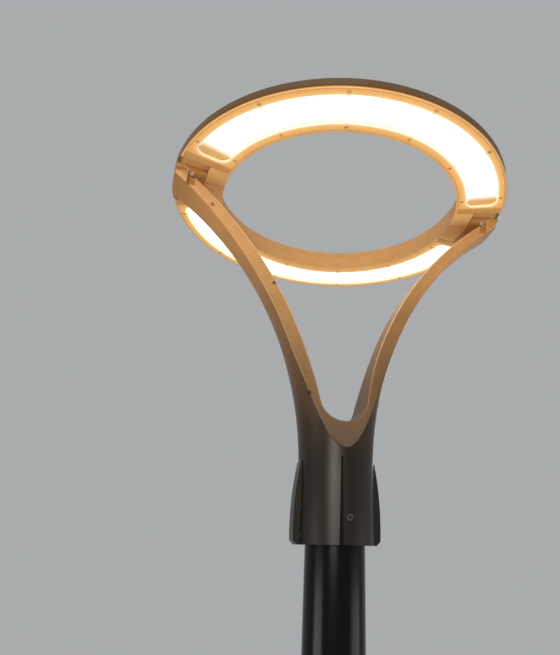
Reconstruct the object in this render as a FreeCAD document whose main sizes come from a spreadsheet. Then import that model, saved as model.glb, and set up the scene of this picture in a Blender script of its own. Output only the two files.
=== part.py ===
import FreeCAD, Part
import Sketcher
import math
import os

# A garden lamp post: a steel post on a bolted base plate carries a cast two-armed fork,
# and the fork holds a level ring of two halves with an LED light module in each.
# Origin at the middle of the base plate's underside, +Z up, the fork's arms along X, front at -Y.

doc = FreeCAD.newDocument("garden_lamp_post")
sheet = doc.addObject("Spreadsheet::Sheet", "dims")

# Driving dimensions in millimetres and degrees.
DIMENSIONS = {
    # post
    "collar_foot": 1600,
    "pole_radius": 38.05,
    "pole_wall": 3,
    "plate_side": 250,
    "plate_thick": 10,
    "plate_corner": 18,
    "anchor_circle": 125,
    "anchor_hole": 7,
    "cable_hole": 25,
    "gusset_height": 70,
    "gusset_reach": 52,
    "gusset_thick": 6,
    "gusset_nose": 8,
    "door_height": 420,
    "door_length": 120,
    "door_width": 48,
    "door_gap": 0.5,
    "door_screw_inset": 14,
    "bar_width": 14,
    "bar_thick": 4,
    "bar_overlap": 15,
    "bracket_length": 130,
    "bracket_width": 40,
    "bracket_thick": 2,
    "terminal_length": 64,
    "terminal_width": 30,
    "terminal_depth": 18,
    "terminal_ways": 4,
    # fork
    "ring_rise": 493,
    "collar_radius": 49.5,
    "flare_start": 86,
    "arm_shoulder": 6,
    "gap_flare_start": 83,
    "fork_gap": 23.1,
    "arm_tip": 20.8,
    "front_depth": 26,
    "rear_depth": 11,
    "waist_height": 270,
    "face_bend": 270,
    "front_tilt": 10.3,
    "rear_tilt": 18,
    "head_flare": 20,
    "head_flare_drop": 163,
    "arm_edge": 2,
    "crotch_height": 149,
    "bore_depth": 98,
    "bore_clearance": 0.1,
    "ledge_thick": 8,
    "ledge_hole": 28,
    "cavity_radius": 38,
    "cavity_rise": 24,
    "channel_wall": 3.5,
    "channel_depth": 12,
    "channel_drop": 9,
    "lead_radius": 4.5,
    "lead_overlap": 0.5,
    "lead_inset": 22,
    "lead_out": 7,
    "grommet_wall": 1.8,
    "grommet_bore": 3.2,
    "plate_width": 43.4,
    "plate_drop": 1,
    "front_plate": 12,
    "rear_plate": 6.3,
    "ear_reach": 7,
    "ear_half": 12,
    "ear_top": 101,
    "ear_bend": 400,
    "ear_chamfer": 5,
    "ear_screw_inset": 6,
    "ear_screw_low": 11,
    "ear_screw_high": 45,
    "ear_screw_lift": 8,
    "ear_screw_radius": 2.5,
    "ear_head_radius": 3.4,
    "ear_head_seat": 6.5,
    "slit_top": 103,
    "slit_top_half": 1.2,
    "slit_foot_half": 3,
    "slit_offset": 5,
    "set_screw_height": 31,
    "set_screw_offset": 5,
    "set_screw_radius": 4,
    "arm_screw_radius": 2,
    "arm_head_radius": 3,
    "arm_head_sink": 1.5,
    "arm_screw_bite": 7,
    "top_screw_drop": 45,
    "top_screw_inset": 10.5,
    "middle_screw_rise": 72,
    "middle_screw_inset": 4.2,
    "middle_rear_inset": 8,
    "low_screw_rise": 35,
    "low_screw_inset": 14,
    "mount_inset": 27,
    "front_mount_out": 41,
    "rear_mount_out": 17,
    "pocket_radius": 6,
    "pocket_depth": 20,
    "mount_screw_radius": 2,
    "mount_head_radius": 3.2,
    "screw_clearance": 0.15,
    # ring
    "ring_radius": 258,
    "ring_width": 74,
    "inner_lean": 10.3,
    "ring_depth": 41,
    "rim_height": 13.5,
    "rim_chamfer": 1.5,
    "crest_width": 5,
    "dome_bend": 150,
    "ring_wall": 3.2,
    "tray_depth": 13.6,
    "seam_angle": 6,
    "seam_gap": 0.2,
    "front_zone": 16.5,
    "rear_zone": 6.8,
    "recess_width": 44,
    "recess_depth": 5,
    "floor_thick": 4,
    "splice_gap": 1.8,
    "splice_heel": 6,
    "splice_end": 0.8,
    "bezel_gap": 0.3,
    "bezel_thick": 4,
    "window_rim": 12.6,
    "window_heel": 14.7,
    "window_end": 4.6,
    "window_corner": 14,
    "screw_rim": 7.6,
    "screw_heel": 8.6,
    "screw_end": 9.25,
    "bezel_screw_count": 6,
    "bezel_screw_radius": 1.6,
    "bezel_head_radius": 3,
    "bezel_head_depth": 2,
    "boss_radius": 3.2,
    "tab_radius": 4.5,
    "tab_bite": 2.4,
    "lens_margin": 1.2,
    "lens_end": 1.6,
    "lens_thick": 3,
    "gasket_thick": 1,
    "board_margin": 1.4,
    "board_end": 2.5,
    "board_thick": 1.6,
    "led_side": 5,
    "led_thick": 1.2,
    "led_row_inset": 13,
    "led_end": 4,
    "led_columns": 24,
    "driver_length": 80,
    "driver_width": 22,
    "driver_height": 12,
    "driver_inset": 11,
    "driver_gap": 0.3,
}
for row, (alias, size) in enumerate(DIMENSIONS.items(), start=1):
    sheet.set("A%d" % row, alias)
    sheet.set("B%d" % row, str(size))
    sheet.setAlias("B%d" % row, alias)
doc.recompute()

pieces = []


def number(expression):
    return float(sheet.evalExpression(expression))


def size(alias):
    return float(sheet.get(alias))


# Sketches


def bind(sketch, constraint, expression):
    index = sketch.addConstraint(constraint)
    sketch.setExpression("Constraints[%d]" % index, expression)


def origin_item(body, role):
    return [item for item in body.Origin.OriginFeatures if item.Role == role][0]


def sketch_on(body, role, name, offset=None):
    sketch = body.newObject("Sketcher::SketchObject", name)
    sketch.AttachmentSupport = [(origin_item(body, role), "")]
    sketch.MapMode = "FlatFace"
    if offset:
        sketch.setExpression("AttachmentOffset.Base.z", offset)
    return sketch


def arc_between(start, stop, radius, turn):
    # An arc of under half a circle that turns left (+1) or right (-1) on its way.
    chord = stop - start
    side = FreeCAD.Vector(-chord.y, chord.x, 0).normalize()
    reach = math.sqrt(max(radius ** 2 - (chord.Length / 2) ** 2, 0))
    centre = (start + stop) * 0.5 + side * (turn * reach)
    first, last = (start, stop) if turn > 0 else (stop, start)
    angles = [math.atan2(spot.y - centre.y, spot.x - centre.x) for spot in (first, last)]
    circle = Part.Circle(centre, FreeCAD.Vector(0, 0, 1), radius)
    return Part.ArcOfCircle(circle, angles[0], angles[1])


def outline(sketch, corners, arcs=None):
    # A closed outline through corners given as expressions. arcs maps an edge's number to its
    # radius and turn; the radius "half" makes a half circle between two level corners.
    arcs = arcs or {}
    first = sketch.GeometryCount
    count = len(corners)
    spots = [FreeCAD.Vector(number(x), number(y), 0) for x, y in corners]
    ends = []
    for i in range(count):
        start, stop = spots[i], spots[(i + 1) % count]
        turn = 1
        edge = Part.LineSegment(start, stop)
        if i in arcs:
            bend, turn = arcs[i]
            radius = (stop - start).Length / 2 if bend == "half" else number(bend)
            edge = arc_between(start, stop, radius, turn)
        ends.append((1, 2) if turn > 0 else (2, 1))
        sketch.addGeometry(edge, False)
    for i in range(count):
        after = (i + 1) % count
        pair = (first + i, ends[i][1], first + after, ends[after][0])
        sketch.addConstraint(Sketcher.Constraint("Coincident", *pair))
    for i, (x, y) in enumerate(corners):
        spot = (-1, 1, first + i, ends[i][0])
        bind(sketch, Sketcher.Constraint("DistanceX", *spot, spots[i].x), x)
        bind(sketch, Sketcher.Constraint("DistanceY", *spot, spots[i].y), y)
    for i, (bend, turn) in arcs.items():
        if bend == "half":
            level = Sketcher.Constraint("DistanceY", -1, 1, first + i, 3, spots[i].y)
            bind(sketch, level, corners[i][1])
        else:
            bind(sketch, Sketcher.Constraint("Radius", first + i, number(bend)), bend)


def circle(sketch, x, y, radius):
    index = sketch.GeometryCount
    centre = FreeCAD.Vector(number(x), number(y), 0)
    sketch.addGeometry(Part.Circle(centre, FreeCAD.Vector(0, 0, 1), number(radius)), False)
    bind(sketch, Sketcher.Constraint("DistanceX", -1, 1, index, 3, centre.x), x)
    bind(sketch, Sketcher.Constraint("DistanceY", -1, 1, index, 3, centre.y), y)
    bind(sketch, Sketcher.Constraint("Radius", index, number(radius)), radius)


def box_corners(x0, y0, x1, y1):
    return [(x0, y0), (x1, y0), (x1, y1), (x0, y1)]


def polar(radius, angle):
    # A spot in plan, its angle measured from the front (-Y) towards +X.
    return "(%s * sin(%s))" % (radius, angle), "(-%s * cos(%s))" % (radius, angle)


def sector(sketch, inner, outer, start, stop):
    # A ring sector between two angles.
    corners = [polar(outer, start), polar(outer, stop), polar(inner, stop), polar(inner, start)]
    outline(sketch, corners, {0: (outer, 1), 2: (inner, -1)})


def front_sector(sketch, inner, outer, half_angle):
    sector(sketch, inner, outer, "(-%s)" % half_angle, half_angle)


# Features


def new_body(label):
    body = doc.addObject("PartDesign::Body", label)
    body.Label = label
    pieces.append(body)
    return body


def pad(body, sketch, length, towards=1):
    feature = body.newObject("PartDesign::Pad", "pad")
    feature.Profile = sketch
    feature.setExpression("Length", length)
    feature.Reversed = towards < 0
    doc.recompute()
    return feature


def cut(body, sketch, length, towards=1, both=False):
    # A pocket along the sketch's normal (+1) or against it (-1), which has to remove something.
    before = body.Shape.Volume
    feature = body.newObject("PartDesign::Pocket", "pocket")
    feature.Profile = sketch
    feature.setExpression("Length", length)
    feature.Reversed = towards > 0
    if both:
        feature.SideType = "Symmetric"
    doc.recompute()
    if not feature.Shape.Volume < before - 0.01:
        raise ValueError("a cut removes nothing in " + body.Label)
    return feature


def turned(body, sketch, angle, kind="Revolution"):
    # A feature turned about the sketch's vertical axis, to both sides of its plane.
    before = body.Shape.Volume if kind == "Groove" else None
    feature = body.newObject("PartDesign::" + kind, "turned")
    feature.Profile = sketch
    feature.ReferenceAxis = (sketch, ["V_Axis"])
    feature.Midplane = True
    feature.setExpression("Angle", angle)
    doc.recompute()
    if before is not None and not feature.Shape.Volume < before - 0.01:
        raise ValueError("a groove removes nothing in " + body.Label)
    return feature


def around(body, features, count, step):
    pattern = body.newObject("PartDesign::PolarPattern", "pattern")
    pattern.Originals = features
    pattern.Axis = (origin_item(body, "Z_Axis"), [""])
    pattern.setExpression("Angle", "(%s - 1) * %s" % (count, step))
    pattern.setExpression("Occurrences", count)
    body.Tip = pattern
    doc.recompute()
    return pattern


def round_uprights(body, base, radius, test):
    # Rounds the upright edges whose place passes the test.
    names = []
    for i, edge in enumerate(base.Shape.Edges, start=1):
        along = edge.tangentAt(edge.FirstParameter)
        if abs(abs(along.z) - 1) < 1e-6 and test(edge.CenterOfMass):
            names.append("Edge%d" % i)
    fillet = body.newObject("PartDesign::Fillet", "fillet")
    fillet.Base = (base, names)
    fillet.setExpression("Radius", radius)
    doc.recompute()
    return fillet


def stand(piece, height, turn=0):
    # Sets a piece at its height above the ground, turned about the post.
    piece.Placement = FreeCAD.Placement(FreeCAD.Vector(0, 0, 0), FreeCAD.Rotation(turn, 0, 0))
    piece.setExpression("Placement.Base.z", height)


def group(label, solids, height, turn=0):
    # Separate solids of one kind in one sub-part.
    feature = doc.addObject("Part::Feature", label)
    feature.Label = label
    feature.Shape = Part.makeCompound(solids)
    stand(feature, height, turn)
    pieces.append(feature)
    return feature


def hexagon(radius, depth):
    angles = [math.radians(60 * i) for i in range(7)]
    spots = [FreeCAD.Vector(radius * math.cos(a), radius * math.sin(a), 0) for a in angles]
    return Part.Face(Part.makePolygon(spots)).extrude(FreeCAD.Vector(0, 0, depth))


def socket_screw(shank_radius, shank_length, head_radius, head_height):
    # A cap screw along +Z, its head's seat at the origin and its shank above.
    shank = Part.makeCylinder(shank_radius, shank_length)
    head = Part.makeCylinder(head_radius, head_height, FreeCAD.Vector(0, 0, -head_height))
    socket = hexagon(head_radius * SOCKET_SHARE, head_height * SOCKET_SHARE)
    socket.translate(FreeCAD.Vector(0, 0, -head_height))
    return shank.fuse(head).removeSplitter().cut(socket)


def aimed(shape, place, direction):
    # A copy of a piece drawn along +Z, aimed along a direction from its place.
    copy = shape.copy()
    turn = FreeCAD.Rotation(FreeCAD.Vector(0, 0, 1), FreeCAD.Vector(*direction))
    copy.Placement = FreeCAD.Placement(FreeCAD.Vector(*place), turn)
    return copy


SOCKET_SHARE = 0.55
TOUCH = 0.01
FRONT, REAR = (0, -1, 0), (0, 1, 0)
HALVES = (("front", 0), ("rear", 180))
FORK_FOOT = "dims.collar_foot"
RING_FOOT = "dims.collar_foot + dims.ring_rise"


# Post


def base_plate():
    body = new_body("base_plate")
    half = "(dims.plate_side / 2)"
    plan = sketch_on(body, "XY_Plane", "plan")
    outline(plan, box_corners("-" + half, "-" + half, half, half))
    slab = pad(body, plan, "dims.plate_thick")
    round_uprights(body, slab, "dims.plate_corner", lambda spot: True)
    holes = sketch_on(body, "XY_Plane", "holes")
    circle(holes, "0", "0", "dims.cable_hole")
    corner = "(dims.anchor_circle * sqrt(0.5))"
    for x in ("", "-"):
        for y in ("", "-"):
            circle(holes, x + corner, y + corner, "dims.anchor_hole")
    cut(body, holes, "dims.plate_thick", 1)


def base_gussets():
    reach, rise = size("gusset_reach"), size("gusset_height")
    nose, thick = size("gusset_nose"), size("gusset_thick")
    foot, root = size("plate_thick"), size("pole_radius")
    spots = [(root, 0), (root + reach, 0), (root + reach, nose), (root + nose, rise), (root, rise)]
    path = [FreeCAD.Vector(x, -thick / 2, foot + z) for x, z in spots]
    rib = Part.Face(Part.makePolygon(path + path[:1])).extrude(FreeCAD.Vector(0, thick, 0))
    ribs = []
    for quarter in range(4):
        copy = rib.copy()
        copy.rotate(FreeCAD.Vector(0, 0, 0), FreeCAD.Vector(0, 0, 1), 90 * quarter)
        ribs.append(copy)
    group("base_gussets", ribs, "0")


def door_outline(sketch, gap):
    # A slot with half-round ends, smaller than the door's opening by the gap all round.
    half = "(dims.door_width / 2 - %s)" % gap
    straight = "(dims.door_length / 2 - dims.door_width / 2)"
    low, high = "(dims.door_height - %s)" % straight, "(dims.door_height + %s)" % straight
    outline(sketch, box_corners("-" + half, low, half, high), {0: ("half", 1), 2: ("half", 1)})


def pole_tube():
    body = new_body("pole_tube")
    plan = sketch_on(body, "XY_Plane", "plan", "dims.plate_thick")
    circle(plan, "0", "0", "dims.pole_radius")
    circle(plan, "0", "0", "dims.pole_radius - dims.pole_wall")
    pad(body, plan, "dims.collar_foot + dims.bore_depth - dims.plate_thick")
    opening = sketch_on(body, "XZ_Plane", "opening")
    door_outline(opening, "0")
    cut(body, opening, "dims.pole_radius * 2", -1)


def access_door():
    body = new_body("access_door")
    face = sketch_on(body, "XZ_Plane", "face")
    door_outline(face, "dims.door_gap")
    pad(body, face, "dims.pole_radius * 2", -1)
    foot = "(dims.door_height - dims.door_length)"
    head = "(dims.door_height + dims.door_length)"
    skins = (("0", "dims.pole_radius - dims.pole_wall"), ("dims.pole_radius", "dims.pole_radius * 3"))
    for inner, outer in skins:
        skin = sketch_on(body, "XZ_Plane", "skin")
        outline(skin, box_corners(inner, foot, outer, head))
        turned(body, skin, "360", "Groove")
    holes = sketch_on(body, "XZ_Plane", "holes")
    for sign in ("-", "+"):
        level = "dims.door_height %s (dims.door_length / 2 - dims.door_screw_inset)" % sign
        circle(holes, "0", level, "dims.ear_screw_radius + dims.screw_clearance")
    cut(body, holes, "dims.pole_radius * 2", -1)


def bar_face():
    # The clamp bar's outer face, its edges just off the pole's inner wall.
    inner = size("pole_radius") - size("pole_wall") - size("screw_clearance")
    return math.sqrt(inner ** 2 - (size("bar_width") / 2) ** 2)


def door_clamp_bar():
    length = size("door_length") + 2 * size("bar_overlap")
    thick, wide = size("bar_thick"), size("bar_width")
    corner = FreeCAD.Vector(-wide / 2, bar_face() - thick, size("door_height") - length / 2)
    bar = Part.makeBox(wide, thick, length, corner)
    reach = size("door_length") / 2 - size("door_screw_inset")
    for level in (-reach, reach):
        place = FreeCAD.Vector(0, 0, size("door_height") + level)
        hole = size("ear_screw_radius") + size("screw_clearance")
        bar = bar.cut(Part.makeCylinder(hole, size("pole_radius"), place, FreeCAD.Vector(*REAR)))
    group("door_clamp_bar", [bar], "0")


def door_screws():
    radius = size("ear_screw_radius")
    seat = size("pole_radius")
    length = seat - bar_face() + size("bar_thick")
    screw = socket_screw(radius, length, size("ear_head_radius"), radius)
    reach = size("door_length") / 2 - size("door_screw_inset")
    levels = (size("door_height") - reach, size("door_height") + reach)
    group("door_screws", [aimed(screw, (0, seat, level), FRONT) for level in levels], "0")


def bracket_face():
    # The terminal bracket is a chord of the pole's inner circle, seated just off the wall.
    inner = size("pole_radius") - size("pole_wall") - size("screw_clearance")
    return -math.sqrt(inner ** 2 - (size("bracket_width") / 2) ** 2) + size("bracket_thick")


def terminal_bracket():
    length, wide, thick = size("bracket_length"), size("bracket_width"), size("bracket_thick")
    corner = FreeCAD.Vector(-wide / 2, bracket_face() - thick, size("door_height") - length / 2)
    group("terminal_bracket", [Part.makeBox(wide, thick, length, corner)], "0")


def terminal_block():
    length, wide, depth = size("terminal_length"), size("terminal_width"), size("terminal_depth")
    ways = int(size("terminal_ways"))
    foot = size("door_height") - length / 2
    block = Part.makeBox(wide, depth, length, FreeCAD.Vector(-wide / 2, bracket_face(), foot))
    pitch = length / ways
    for way in range(ways):
        level = foot + pitch * (way + 0.5)
        place = FreeCAD.Vector(0, bracket_face() + depth / 2, level)
        block = block.cut(Part.makeCylinder(pitch / 5, depth, place, FreeCAD.Vector(*REAR)))
    group("terminal_block", [block], "0")


# Fork: a deep front shell and a shallow rear shell that meet on the plane of the arms

SHOULDER = "(dims.ring_rise - dims.arm_shoulder)"
OUTER_RISE = "(%s - dims.flare_start)" % SHOULDER
OUTER_RUN = "(dims.ring_radius - dims.collar_radius)"
OUTER_BEND = "((%s^2 + %s^2) / (2 * %s))" % (OUTER_RISE, OUTER_RUN, OUTER_RUN)
INNER_RISE = "(dims.ring_rise - dims.gap_flare_start)"
INNER_RUN = "(dims.ring_radius - dims.arm_tip - dims.fork_gap)"
INNER_BEND = "((%s^2 + %s^2) / (2 * %s))" % (INNER_RISE, INNER_RUN, INNER_RUN)
FORK_TOP = "(dims.ring_rise + dims.recess_depth)"
PAST_TOP = "(dims.ring_rise + dims.recess_depth + dims.floor_thick)"
BORE = "(dims.pole_radius + dims.bore_clearance)"
LEDGE = "(dims.bore_depth + dims.ledge_thick)"
LEAD_PLACE = "(dims.ring_radius - dims.lead_inset)"
MOUNT_PLACE = "(dims.ring_radius - dims.mount_inset)"
MOUNT_HOLE = "(dims.mount_screw_radius + dims.screw_clearance)"
EAR_PLACE = "(dims.collar_radius + dims.ear_reach - dims.ear_screw_inset)"
DEPTH = {"front": "dims.front_depth", "rear": "dims.rear_depth"}
TILT = {"front": "dims.front_tilt", "rear": "dims.rear_tilt"}
MOUNT_OUT = {"front": "dims.front_mount_out", "rear": "dims.rear_mount_out"}
PLATE_ANGLE = {"front": "dims.front_plate", "rear": "dims.rear_plate"}
LEFT_EAR = ("dims.ear_screw_low", "dims.ear_screw_high")
RIGHT_EAR = ("(dims.ear_screw_low + dims.ear_screw_lift)", "(dims.ear_screw_high + dims.ear_screw_lift)")
TOP_SCREW = "(dims.ring_rise - dims.top_screw_drop)"
LOW_SCREW = "(dims.crotch_height + dims.low_screw_rise)"
MIDDLE_SCREW = "(dims.waist_height + dims.middle_screw_rise)"
ARM_SCREWS = {
    "front": (
        (TOP_SCREW, "dims.top_screw_inset"),
        (MIDDLE_SCREW, "dims.middle_screw_inset"),
        (LOW_SCREW, "dims.low_screw_inset"),
    ),
    "rear": (
        (TOP_SCREW, "dims.top_screw_inset"),
        (MIDDLE_SCREW, "dims.middle_rear_inset"),
        (LOW_SCREW, "dims.low_screw_inset"),
    ),
}
OTHER = {"front": "rear", "rear": "front"}
SCREW_TIP = {"front": "(dims.channel_depth + dims.arm_screw_bite)", "rear": "dims.arm_screw_bite"}
HEAD_BEND = "((dims.head_flare_drop^2 + dims.head_flare^2) / (2 * dims.head_flare))"
HEAD_START = "(dims.ring_rise - dims.head_flare_drop)"


def outer_flare(height, inset="0"):
    level = "(%s - dims.flare_start)" % height
    return "(dims.collar_radius + %s - sqrt((%s + %s)^2 - %s^2))" % (OUTER_BEND, OUTER_BEND, inset, level)


def inner_flare(height, inset="0"):
    level = "(%s - dims.gap_flare_start)" % height
    return "(dims.fork_gap + %s - sqrt((%s - %s)^2 - %s^2))" % (INNER_BEND, INNER_BEND, inset, level)


def flared_body(body):
    side = sketch_on(body, "YZ_Plane", "flare")
    corners = [
        ("0", "0"),
        ("0", FORK_TOP),
        ("-dims.ring_radius", FORK_TOP),
        ("-dims.ring_radius", SHOULDER),
        ("-dims.collar_radius", "dims.flare_start"),
        ("-dims.collar_radius", "0"),
    ]
    outline(side, corners, {3: (OUTER_BEND, -1)})
    turned(body, side, "180")


def collar_ears(body):
    side = sketch_on(body, "XZ_Plane", "ears")
    for sign, turn in (("", 1), ("-", -1)):
        root = sign + "(dims.collar_radius / 2)"
        reach = "(dims.collar_radius + dims.ear_reach)"
        corners = [
            (root, "0"),
            ("%s(%s - dims.ear_chamfer)" % (sign, reach), "0"),
            (sign + reach, "dims.ear_chamfer"),
            (sign + "dims.collar_radius", "dims.ear_top"),
            (root, "dims.ear_top"),
        ]
        outline(side, corners, {2: ("dims.ear_bend", turn)})
    pad(body, side, "dims.ear_half")


def face_bend_end(side):
    # Depth and height where the broad face's bend below the waist runs into the flat shield.
    out = "(%s + dims.face_bend * (1 - cos(%s)))" % (DEPTH[side], TILT[side])
    return out, "(dims.waist_height - dims.face_bend * sin(%s))" % TILT[side]


def head_out(height):
    # How far the front shell's broad face leans out above the start of its head.
    return "(%s - sqrt(%s^2 - (%s - %s)^2))" % (HEAD_BEND, HEAD_BEND, height, HEAD_START)


def screw_seat(side, height):
    # Depth of an arm screw's seat, its head sunk a little below the broad face.
    face = DEPTH[side]
    if height == LOW_SCREW:
        out, low = face_bend_end(side)
        face = "(%s + (%s - %s) * tan(%s))" % (out, low, height, TILT[side])
    elif height == TOP_SCREW and side == "front":
        face = "(%s + %s)" % (face, head_out(height))
    return "(%s - dims.arm_head_sink - 2 * dims.arm_screw_radius)" % face


def waisted_face(body, side):
    # The arms' broad face, which leans out into the flat shield below the crotch.
    depth, tilt = DEPTH[side], TILT[side]
    sketch = sketch_on(body, "YZ_Plane", "waist")
    bend_out, bend_low = face_bend_end(side)
    past = "(dims.collar_radius + dims.ear_chamfer)"
    low = "(%s - (%s - %s) / tan(%s))" % (bend_low, past, bend_out, tilt)
    clear = "(-dims.ring_radius * 2)"
    corners = [
        (clear, low),
        ("-" + past, low),
        ("-" + bend_out, bend_low),
        ("(-%s)" % depth, "dims.waist_height"),
    ]
    arcs = {2: ("dims.face_bend", 1)}
    if side == "front":
        arcs[len(corners)] = (HEAD_BEND, 1)
        corners += [("(-%s)" % depth, HEAD_START), ("(-%s - %s)" % (depth, head_out(PAST_TOP)), PAST_TOP)]
    else:
        corners.append(("(-%s)" % depth, PAST_TOP))
    outline(sketch, corners + [(clear, PAST_TOP)], arcs)
    cut(body, sketch, "dims.ring_radius * 4", 1, both=True)


def fork_opening(body):
    # The gap between the arms, with a round crotch tangent to both inner faces.
    reach = "(dims.fork_gap + %s)" % INNER_BEND
    step = "(dims.crotch_height - dims.gap_flare_start)"
    crotch = "((%s^2 + %s^2 - %s^2) / (2 * (%s - %s)))" % (reach, step, INNER_BEND, INNER_BEND, step)
    span = "(%s + %s)" % (INNER_BEND, crotch)
    meet_x = "(%s * %s / %s)" % (crotch, reach, span)
    meet_z = "(dims.crotch_height + %s - %s * (%s + %s) / %s)" % (crotch, crotch, step, crotch, span)
    top = inner_flare(PAST_TOP)
    face = sketch_on(body, "XZ_Plane", "gap")
    corners = [("-" + meet_x, meet_z), (meet_x, meet_z), (top, PAST_TOP), ("-" + top, PAST_TOP)]
    outline(face, corners, {0: (crotch, 1), 1: (INNER_BEND, -1), 3: (INNER_BEND, -1)})
    cut(body, face, "dims.ring_radius * 2", 1)


def soft_edges(body, depth):
    # Breaks the long edges round the broad face.
    base = body.Tip
    names = []
    for i, edge in enumerate(base.Shape.Edges, start=1):
        middle = edge.valueAt((edge.FirstParameter + edge.LastParameter) / 2)
        on_face = -middle.y > number(depth) - TOUCH and -middle.y < number("dims.collar_radius") - 1
        if on_face and middle.z > number("dims.bore_depth") and middle.z < number("dims.ring_rise"):
            names.append("Edge%d" % i)
    fillet = body.newObject("PartDesign::Fillet", "soft_edge")
    fillet.Base = (base, names)
    fillet.setExpression("Radius", "dims.arm_edge")
    doc.recompute()


def head_plates(body, side):
    # The plates on the arms' heads that fill the ring's recess and take the screws that hold the ring.
    plan = sketch_on(body, "XY_Plane", "plates", "dims.ring_rise - dims.plate_drop")
    inner = "(dims.ring_radius - dims.plate_width)"
    sector(plan, inner, "dims.ring_radius", "(90 - %s)" % PLATE_ANGLE[side], "90")
    sector(plan, inner, "dims.ring_radius", "(-90)", "(%s - 90)" % PLATE_ANGLE[side])
    pad(body, plan, "dims.recess_depth + dims.plate_drop")
    holes = sketch_on(body, "XY_Plane", "mount_holes", "dims.ring_rise - dims.plate_drop")
    for sign in ("", "-"):
        circle(holes, sign + MOUNT_PLACE, "-" + MOUNT_OUT[side], MOUNT_HOLE)
    cut(body, holes, "dims.recess_depth + dims.plate_drop", 1)


def screw_pockets(body):
    # Room for the heads of the screws that hold the ring, open to the broad face.
    pockets = sketch_on(body, "XY_Plane", "pockets", "dims.ring_rise - dims.plate_drop - dims.pocket_depth")
    for sign in ("", "-"):
        circle(pockets, sign + MOUNT_PLACE, "-dims.front_mount_out", "dims.pocket_radius")
    cut(body, pockets, "dims.pocket_depth", 1)


def pole_socket(body):
    side = sketch_on(body, "XZ_Plane", "socket")
    below = "(-dims.ledge_thick)"
    top = "(%s + dims.cavity_rise)" % LEDGE
    corners = [
        ("0", below),
        (BORE, below),
        (BORE, "dims.bore_depth"),
        ("dims.ledge_hole", "dims.bore_depth"),
        ("dims.ledge_hole", LEDGE),
        ("dims.cavity_radius", LEDGE),
        ("dims.cavity_radius", top),
        ("0", top),
    ]
    outline(side, corners)
    turned(body, side, "360", "Groove")


def lead_channels(body):
    # A channel for the leads in each arm, cut in the face where the shells meet.
    face = sketch_on(body, "XZ_Plane", "channels")
    wall = "dims.channel_wall"
    foot = "(%s + dims.channel_wall * 2)" % LEDGE
    top = "(dims.ring_rise - dims.channel_drop)"
    for sign, turn in (("", 1), ("-", -1)):
        corners = [
            (sign + inner_flare(foot, wall), foot),
            (sign + outer_flare(foot, wall), foot),
            (sign + outer_flare(top, wall), top),
            (sign + inner_flare(top, wall), top),
        ]
        outer = "(%s + %s)" % (OUTER_BEND, wall)
        inner = "(%s - %s)" % (INNER_BEND, wall)
        outline(face, corners, {1: (outer, -turn), 3: (inner, turn)})
    cut(body, face, "dims.channel_depth", 1)
    plan = sketch_on(body, "XY_Plane", "lead_holes", "dims.ring_rise - dims.channel_drop - dims.lead_overlap")
    for sign in ("", "-"):
        circle(plan, sign + LEAD_PLACE, "-dims.lead_out", "dims.lead_radius")
    cut(body, plan, "dims.ring_rise", 1)


def clamp_slit(body):
    front = sketch_on(body, "XZ_Plane", "slit", "dims.ledge_hole")
    below = "(-dims.ledge_thick)"
    corners = [
        ("(-dims.slit_offset - dims.slit_foot_half)", below),
        ("(-dims.slit_offset + dims.slit_foot_half)", below),
        ("(-dims.slit_offset + dims.slit_top_half)", "dims.slit_top"),
        ("(-dims.slit_offset - dims.slit_top_half)", "dims.slit_top"),
    ]
    outline(front, corners)
    cut(body, front, "dims.collar_radius", 1)
    tapped = sketch_on(body, "XZ_Plane", "tapped", "dims.ledge_hole")
    hole = "dims.set_screw_radius + dims.screw_clearance"
    circle(tapped, "dims.set_screw_offset", "dims.set_screw_height", hole)
    cut(body, tapped, "dims.collar_radius", 1)


def ear_holes(body, heads, tips):
    # Holes with sunk heads in one ear, holes for the other shell's screw tips in the second.
    through = sketch_on(body, "XZ_Plane", "ear_holes")
    sunk = sketch_on(body, "XZ_Plane", "ear_sinks", "dims.ear_head_seat")
    for level in heads:
        circle(through, "-" + EAR_PLACE, level, "dims.ear_screw_radius + dims.screw_clearance")
        circle(sunk, "-" + EAR_PLACE, level, "dims.ear_head_radius + dims.screw_clearance")
    for level in tips:
        circle(through, EAR_PLACE, level, "dims.ear_screw_radius + dims.screw_clearance")
    cut(body, through, "dims.collar_radius", 1)
    cut(body, sunk, "dims.collar_radius", 1)


def arm_holes(body, side):
    # Sunk heads in this shell's left arm, blind holes for the other shell's screws in its right arm.
    blind = sketch_on(body, "XZ_Plane", "arm_blinds")
    for height, inset in ARM_SCREWS[OTHER[side]]:
        circle(blind, inner_flare(height, inset), height, "dims.arm_screw_radius + dims.screw_clearance")
    cut(body, blind, "%s + dims.screw_clearance" % SCREW_TIP[side], 1)
    for height, inset in ARM_SCREWS[side]:
        spot, seat = inner_flare(height, inset), screw_seat(side, height)
        through = sketch_on(body, "XZ_Plane", "arm_hole")
        circle(through, "-" + spot, height, "dims.arm_screw_radius + dims.screw_clearance")
        cut(body, through, seat, 1)
        sunk = sketch_on(body, "XZ_Plane", "arm_sink", seat)
        circle(sunk, "-" + spot, height, "dims.arm_head_radius + dims.screw_clearance")
        cut(body, sunk, "dims.ring_radius", 1)


def fork_shell(side, turn):
    body = new_body(side + "_fork_shell")
    front = side == "front"
    flared_body(body)
    waisted_face(body, side)
    fork_opening(body)
    soft_edges(body, DEPTH[side])
    collar_ears(body)
    head_plates(body, side)
    pole_socket(body)
    if front:
        screw_pockets(body)
        lead_channels(body)
        ear_holes(body, LEFT_EAR, RIGHT_EAR)
    else:
        ear_holes(body, RIGHT_EAR, LEFT_EAR)
    arm_holes(body, side)
    clamp_slit(body)
    stand(body, FORK_FOOT, turn)


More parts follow.
